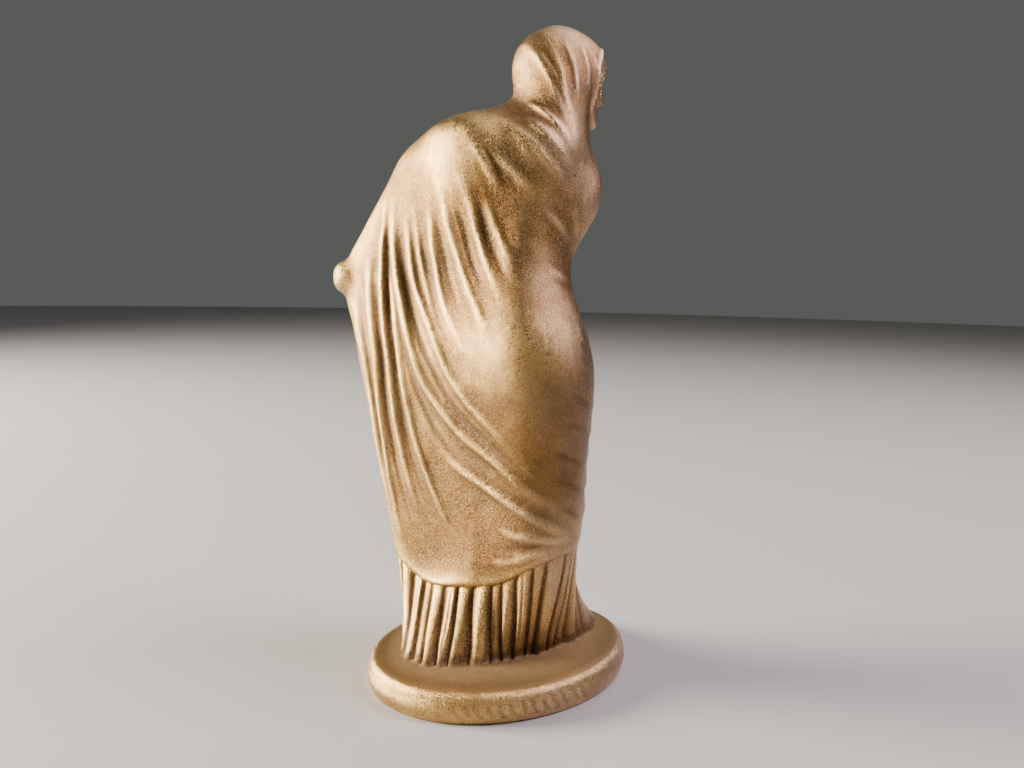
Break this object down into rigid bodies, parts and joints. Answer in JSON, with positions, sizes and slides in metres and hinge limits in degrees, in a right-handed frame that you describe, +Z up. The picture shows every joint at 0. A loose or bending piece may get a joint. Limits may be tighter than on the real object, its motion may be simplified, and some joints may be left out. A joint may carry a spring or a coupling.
{
  "type": "veiled draped woman statuette",
  "caption": "Bronze statuette of a standing woman wrapped in a mantle and veil, cast in one piece with a low oval plinth.",
  "frame": {"origin": "middle of the oval plinth's flat underside", "axes": "+Z up through the figure, -Y the way she faces, +X her left"},
  "size_m": [0.1093, 0.1234, 0.285],
  "materials": {
    "bronze": "satin cast bronze, gold on the crests and dark brown in the folds"
  },
  "bodies": {
    "root": {"draped_figure": "bronze"}
  },
  "joints": []
}
